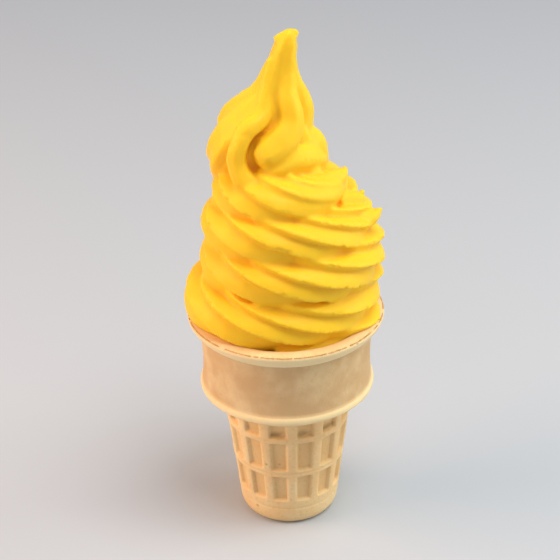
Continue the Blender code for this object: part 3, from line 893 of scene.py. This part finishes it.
def plug_profile():
    """The filling below the swirl, a little clear of the wafer's inner face."""
    inner = list(CUP_INSIDE) + [(stem_radius(h) - WALL, h) for h in STEM_INSIDE_HEIGHTS]
    inner = [p for p in inner + [(INNER_FLOOR_RADIUS, FLOOR)] if p[1] < FILL_TOP]
    top = FILL_TOP + FILL_LAP
    wall = moved_in([(inside_radius(top), top)] + inner, -PLUG_CLEAR)
    profile = [(0.0, top), (wall[0][0], top)] + wall[1:-1]
    return profile + [(wall[-1][0], FLOOR + PLUG_CLEAR), (0.0, FLOOR + PLUG_CLEAR)]


def joined(name, *shapes):
    """One object from several (points, faces)."""
    points, faces, start = [], [], 0
    for some_points, some_faces in shapes:
        points += some_points.tolist()
        faces += [[start + i for i in face] for face in some_faces]
        start += len(some_points)
    return object_from(name, points, [], faces)


def fuse(obj, shape, operation):
    """Joins obj with a closed shape, or cuts it with that."""
    other = joined("cutter", shape)
    turn_outwards(other)
    modifier = obj.modifiers.new("fuse", "BOOLEAN")
    modifier.operation = operation
    modifier.object = other
    modifier.solver = "EXACT"
    bake(obj)
    bpy.data.objects.remove(other)


def remesh(obj, cell):
    modifier = obj.modifiers.new("one_skin", "REMESH")
    modifier.mode = "VOXEL"
    modifier.voxel_size = cell
    bake(obj)


def keep_outer_shell(obj):
    """Drops the inner shells of sealed hollows and any loose scrap."""
    mesh = obj.data
    label = np.arange(len(mesh.vertices))
    pairs = np.zeros(len(mesh.edges) * 2, int)
    mesh.edges.foreach_get("vertices", pairs)
    pairs = pairs.reshape(-1, 2)
    while True:
        lowest = np.minimum(label[pairs[:, 0]], label[pairs[:, 1]])
        before = label.copy()
        np.minimum.at(label, pairs[:, 0], lowest)
        np.minimum.at(label, pairs[:, 1], lowest)
        label = label[label]
        if np.array_equal(before, label):
            break
    names, counts = np.unique(label, return_counts=True)
    spare = np.flatnonzero(label != names[counts.argmax()])
    if len(spare):
        work = bmesh.new()
        work.from_mesh(mesh)
        work.verts.ensure_lookup_table()
        bmesh.ops.delete(work, geom=[work.verts[i] for i in spare], context="VERTS")
        work.to_mesh(mesh)
        work.free()


class Surface:
    """A mesh's points, edges and normals as arrays, to smooth values over the surface."""

    def __init__(self, mesh):
        count = len(mesh.vertices)
        self.points = np.zeros(count * 3)
        mesh.vertices.foreach_get("co", self.points)
        self.points = self.points.reshape(-1, 3)
        self.normals = np.zeros(count * 3)
        mesh.vertices.foreach_get("normal", self.normals)
        self.normals = self.normals.reshape(-1, 3)
        pairs = np.zeros(len(mesh.edges) * 2, int)
        mesh.edges.foreach_get("vertices", pairs)
        self.pairs = pairs.reshape(-1, 2)
        self.valence = np.bincount(pairs, minlength=count)

    def averaged(self, values, rounds, share=0.5):
        """Each value moved towards its neighbours' mean, round by round."""
        a, b = self.pairs.T
        count = len(self.points)
        for _ in range(rounds):
            total = np.stack([
                np.bincount(a, values[b, c], count) + np.bincount(b, values[a, c], count)
                for c in range(values.shape[1])
            ], axis=1)
            values = values + share * (total / self.valence[:, None] - values)
        return values


def smooth_skin(obj, rounds):
    """Takes the voxel steps out of the surface without shrinking its ridges."""
    surface = Surface(obj.data)
    points = surface.points
    for _ in range(rounds):
        points = surface.averaged(points, 1, SMOOTH_IN)
        points = surface.averaged(points, 1, SMOOTH_OUT)
    obj.data.vertices.foreach_set("co", points.ravel())
    obj.data.update()


def keep_within(obj, low, high):
    """Moves the few points that stand out of the solid's box onto its sides."""
    points = Surface(obj.data).points
    obj.data.vertices.foreach_set("co", np.clip(points, low, high).ravel())
    obj.data.update()


def store(mesh, name, values):
    attribute = mesh.attributes.new(name, "FLOAT", "POINT")
    attribute.data.foreach_set("value", values.astype(np.float32))


def mark_hollows(obj):
    """Stores how hollow each place is: above 0 in grooves, below 0 on ridges."""
    surface = Surface(obj.data)
    near = surface.averaged(surface.points, GROOVE_ROUNDS)
    far = surface.averaged(near, PIT_ROUNDS)
    groove = ((near - surface.points) * surface.normals).sum(axis=1)
    pit = ((far - surface.points) * surface.normals).sum(axis=1)
    store(obj.data, "groove", groove / MM)
    store(obj.data, "pit", pit / MM)


def surface_tree():
    """Uneven frozen surface: broad waves, fine grain, and torn places along the ridges."""
    tree, given = shape_tree("frozen_surface", [], [
        "Wave size", "Wave height", "Grain size", "Grain height", "Nick size", "Nick depth", "Lip height",
    ])
    add = partial(node, tree)
    position = add("GeometryNodeInputPosition")
    wave, grain, nick = (
        add(NOISE, {
            "Vector": position, "Scale": add(MATH, 1.0, given[size], operation="DIVIDE"), "Detail": detail,
        })
        for size, detail in (("Wave size", 1.0), ("Grain size", 2.0), ("Nick size", 3.0))
    )
    groove = add("GeometryNodeInputNamedAttribute", "groove", data_type="FLOAT")
    ridge = add(MATH, groove.outputs["Attribute"], -1.0, operation="MULTIPLY")
    on_ridge = add(RAMP, ridge, *RIDGE_SHARPNESS, **SOFT)
    torn = add(RAMP, nick, *TEAR_NOISE, **SOFT)
    torn = add(MATH, torn, on_ridge, operation="MULTIPLY")
    swing = add(MATH, torn, given["Nick depth"], operation="MULTIPLY")
    swing = add(MATH, 0.0, swing, operation="SUBTRACT")
    for noise, height in ((wave, "Wave height"), (grain, "Grain height")):
        middle = add(MATH, noise, 0.5, operation="SUBTRACT")
        swing = add(MATH, middle, given[height], swing, operation="MULTIPLY_ADD")
    above_lip = add(MATH, given["Lip height"], FULL_ABOVE_LIP * MM, operation="ADD")
    level = add("ShaderNodeSeparateXYZ", position).outputs["Z"]
    clear = add(RAMP, level, given["Lip height"], above_lip, **SOFT)
    swing = add(MATH, swing, clear, operation="MULTIPLY")
    normal = add("GeometryNodeInputNormal")
    push = add("ShaderNodeVectorMath", {"Vector": normal, "Scale": swing}, operation="SCALE")
    moved = add("GeometryNodeSetPosition", {"Geometry": given["Geometry"], "Offset": push})
    end_tree(tree, moved, given["Material"])
    return tree


def mango_soft_serve(settings):
    """Mango soft serve: fruit puree and milk, frozen while stirred. Smooth, softly glossy and translucent,
    with painted light on its ridges and a painted deep-orange glow and shade in its grooves and pits."""
    material, tree, shader = new_material("mango_soft_serve")
    add = partial(node, tree)
    at = add("ShaderNodeTexCoord").outputs["Object"]
    groove, pit = (
        add("ShaderNodeAttribute", attribute_name=mark).outputs["Fac"] for mark in ("groove", "pit")
    )
    # Cloudy tone, gloss, and ice crystals, drawn at a third of a millimetre so that they show
    cloud, gloss, crystals = (
        add(NOISE, {"Vector": at, "Scale": 1.0 / (size * MM), "Detail": 2.0}) for size in SWIRL_NOISES
    )
    base = tinted(tree, rgba(settings.flesh), (
        # Painted light on the ridges, then the random cloudy tone
        (add(RAMP, groove, *RIDGE_PAINTED_LIGHT, **SOFT), 1.0, settings.ridge),
        (add(RAMP, cloud, *CLOUDS, **SOFT), 0.3, settings.ridge),
        # Painted shade and deep-orange glow in the grooves and pits
        (add(RAMP, groove, *GROOVE_PAINTED_SHADE, **SOFT), 0.6, settings.hollow),
        (add(RAMP, pit, *PIT_PAINTED_SHADE, **SOFT), 0.6, settings.hollow),
    ))
    fill(tree, shader, {
        "Base Color": base,
        "Roughness": add(RAMP, gloss, 0.0, 1.0, *SWIRL_ROUGHNESS),
        "Normal": add("ShaderNodeBump", {"Strength": 0.25, "Distance": 0.1 * MM, "Height": crystals}),
        "IOR": 1.35, "Specular IOR Level": 0.35, "Subsurface Weight": 0.6,
        "Subsurface Radius": (1.0, 0.55, 0.08), "Subsurface Scale": settings.scatter,
    })
    return material


# Stage

# The camera stands where the photo's was: its place, what it looks at, its roll and its lens.
CAMERA_PLACE = (0.0, -443.0, 321.5)
CAMERA_TARGET = (-1.43, 0.0, 75.07)
CAMERA_ROLL = -1.3
CAMERA_FOCAL_PIXELS = 1800.0
PHOTO_WIDTH = 560
SENSOR = 36.0
CLIP_START = 0.01
# Soft lights: place, what it shines at and side in millimetres, and colour
KEY_LIGHT = ((225, -205, 850), (0, 0, 60), 460, "#FFFDF8")
SIDE_LIGHT = ((640, 20, 330), (0, 0, 60), 420, "#FFFBEA")
WARM_LIGHT = ((-620, -60, 330), (0, 0, 70), 460, "#FFCFA9")
SKY_COLOUR = "#F4F4F6"


def looking(place, target, roll_degrees=0.0):
    """A matrix that stands at place and looks at target."""
    back = (Vector(place) - Vector(target)).normalized()
    right = Vector((0.0, 0.0, 1.0)).cross(back).normalized()
    up = back.cross(right)
    roll = math.radians(roll_degrees)
    turned_right = right * math.cos(roll) + up * math.sin(roll)
    turned_up = up * math.cos(roll) - right * math.sin(roll)
    axes = Matrix((turned_right, turned_up, back)).transposed().to_4x4()
    return Matrix.Translation(Vector(place) * MM) @ axes


def add_camera():
    data = bpy.data.cameras.new("camera")
    data.sensor_width = SENSOR
    data.lens = CAMERA_FOCAL_PIXELS / PHOTO_WIDTH * SENSOR
    data.clip_start = CLIP_START
    camera = bpy.data.objects.new("camera", data)
    camera.matrix_world = looking(CAMERA_PLACE, CAMERA_TARGET, CAMERA_ROLL)
    bpy.context.scene.collection.objects.link(camera)
    bpy.context.scene.camera = camera


def add_light(name, place, target, size, hex_colour, watts):
    """A square soft light; place, target and size are in millimetres."""
    data = bpy.data.lights.new(name, "AREA")
    data.shape = "SQUARE"
    data.size = size * MM
    data.energy = watts
    data.color = linear(hex_colour)
    light = bpy.data.objects.new(name, data)
    light.matrix_world = looking(place, target)
    bpy.context.scene.collection.objects.link(light)


def painted_board(settings):
    """A matt, pale painted board: one even tone, so that the shadow shows."""
    material, tree, shader = new_material("painted_board")
    fill(tree, shader, {"Base Color": rgba(settings.floor), "Roughness": 0.55, "Specular IOR Level": 0.2})
    return material


class SOFTSERVE_OT_stage(bpy.types.Operator):
    """Sets up the floor, the soft light and the camera"""

    bl_idname = "softserve.stage"
    bl_label = "Make stage"

    def execute(self, context):
        settings = context.scene.softserve_stage
        add_camera()
        half = settings.floor_width / 2
        corners = [(-half, -half, 0.0), (half, -half, 0.0), (half, half, 0.0), (-half, half, 0.0)]
        floor = object_from("floor", corners, [], [(0, 1, 2, 3)])
        floor.data.materials.append(painted_board(settings))
        add_light("key", *KEY_LIGHT, settings.key_power)
        add_light("side", *SIDE_LIGHT, settings.side_power)
        add_light("warm", *WARM_LIGHT, settings.warm_power)
        world = bpy.data.worlds.new("studio")
        world.use_nodes = True
        sky = {"Color": rgba(linear(SKY_COLOUR)), "Strength": settings.sky}
        fill(world.node_tree, world.node_tree.nodes["Background"], sky)
        context.scene.world = world
        context.scene.view_settings.view_transform = "Standard"
        return {"FINISHED"}


class SOFTSERVE_OT_wafer(bpy.types.Operator):
    """Makes the moulded wafer cup cone"""

    bl_idname = "softserve.wafer"
    bl_label = "Make wafer"

    def execute(self, context):
        settings = context.scene.softserve_wafer
        section, outside = wafer_section(settings)
        points = [(radius * MM, 0.0, height * MM) for radius, height in section]
        edges = [(k, k + 1) for k in range(len(points) - 1)]
        wafer = object_from("baked_wafer_cone", points, edges, [])
        material = baked_wafer(settings)
        values = {
            **named(settings), "Sides": settings.panels * settings.sides_per_panel,
            "Outside points": outside, "Rib half width": settings.rib_width / 2, "Material": material,
        }
        for place, (low, high) in (("Bead", BEAD_HEIGHTS), ("Lip", LIP_HEIGHTS)):
            values[f"{place} low"] = low * MM
            values[f"{place} high"] = high * MM
        for k, (low, high) in enumerate(PANEL_ROWS):
            values[f"Row {k + 1} low"] = low * MM
            values[f"Row {k + 1} high"] = high * MM
        grow(wafer, wafer_tree(), values)
        turn_outwards(wafer)
        finish_piece(wafer, material, "wafer", "wafer_cone")
        return {"FINISHED"}


class SOFTSERVE_OT_flash(bpy.types.Operator):
    """Makes the crumbs of scorched batter along the lip's edge"""

    bl_idname = "softserve.flash"
    bl_label = "Make flash crumbs"

    def execute(self, context):
        settings = context.scene.softserve_wafer
        radius, height = (value * MM for value in FLASH_LINE)
        angles = [2 * math.pi * k / settings.crumbs for k in range(settings.crumbs)]
        points = [(radius * math.cos(a), radius * math.sin(a), height) for a in angles]
        crumbs = object_from("lip_flash_crumbs", points, [], [])
        material = scorched_batter(settings)
        grow(crumbs, crumb_tree(), {**named(settings), "Material": material})
        finish_piece(crumbs, material, "wafer")
        return {"FINISHED"}


class SOFTSERVE_OT_swirl(bpy.types.Operator):
    """Makes the ridged swirl of soft serve with its drawn-up peak"""

    bl_idname = "softserve.swirl"
    bl_label = "Make swirl"

    def execute(self, context):
        settings = context.scene.softserve_swirl
        centres, thick, turn = rope_line(ROPE_STEPS)
        angle = np.linspace(0, 2 * math.pi, ROPE_SIDES, endpoint=False)
        rope = tube(centres, thick, rope_section(angle[None, :], turn[:, None]))
        folds = [fold_tube(fold) for fold in FOLDS]
        core = turned([(0.0, CORE[0][1])] + list(CORE) + [(0.0, CORE[-1][1])], PLUG_SIDES)
        swirl = joined("soft_serve_swirl", rope, core, *folds)
        turn_outwards(swirl)
        remesh(swirl, settings.first_cell)
        keep_outer_shell(swirl)
        fuse(swirl, turned(clearing_profile(), LIP_SIDES), "DIFFERENCE")
        remesh(swirl, settings.cell)
        keep_outer_shell(swirl)
        smooth_skin(swirl, settings.smoothing)
        mark_hollows(swirl)
        material = mango_soft_serve(settings)
        values = {**named(settings), "Lip height": WAFER_HIGH.z, "Material": material}
        grow(swirl, surface_tree(), values)
        keep_within(swirl, SWIRL_LOW, SWIRL_HIGH)
        fuse(swirl, turned(plug_profile(), PLUG_SIDES), "UNION")
        finish_piece(swirl, material, "soft_serve", "soft_serve")
        return {"FINISHED"}


class SOFTSERVE_PT_panel(bpy.types.Panel):
    """Lists the cone's settings and the pieces that can be made"""

    bl_label = "Soft serve cone"
    bl_idname = "SOFTSERVE_PT_panel"
    bl_space_type = "VIEW_3D"
    bl_region_type = "UI"
    bl_category = "Soft serve"

    def draw(self, context):
        for group, operators in GROUPS:
            box = self.layout.box()
            settings = getattr(context.scene, group)
            for name in settings.__annotations__:
                box.prop(settings, name)
            for operator in operators:
                box.operator(operator.bl_idname)


GROUPS = (
    ("softserve_stage", (SOFTSERVE_OT_stage,)),
    ("softserve_wafer", (SOFTSERVE_OT_wafer, SOFTSERVE_OT_flash)),
    ("softserve_swirl", (SOFTSERVE_OT_swirl,)),
)
CLASSES = (
    WaferSettings, SwirlSettings, StageSettings, SOFTSERVE_OT_stage, SOFTSERVE_OT_wafer,
    SOFTSERVE_OT_flash, SOFTSERVE_OT_swirl, SOFTSERVE_PT_panel,
)


def register():
    for cls in CLASSES:
        bpy.utils.register_class(cls)
    bpy.types.Scene.softserve_wafer = PointerProperty(type=WaferSettings)
    bpy.types.Scene.softserve_swirl = PointerProperty(type=SwirlSettings)
    bpy.types.Scene.softserve_stage = PointerProperty(type=StageSettings)


def unregister():
    for group, _ in GROUPS:
        delattr(bpy.types.Scene, group)
    for cls in reversed(CLASSES):
        bpy.utils.unregister_class(cls)


def main():
    register()
    bpy.ops.softserve.stage()
    bpy.ops.softserve.wafer()
    bpy.ops.softserve.flash()
    bpy.ops.softserve.swirl()


if __name__ == "__main__":
    main()
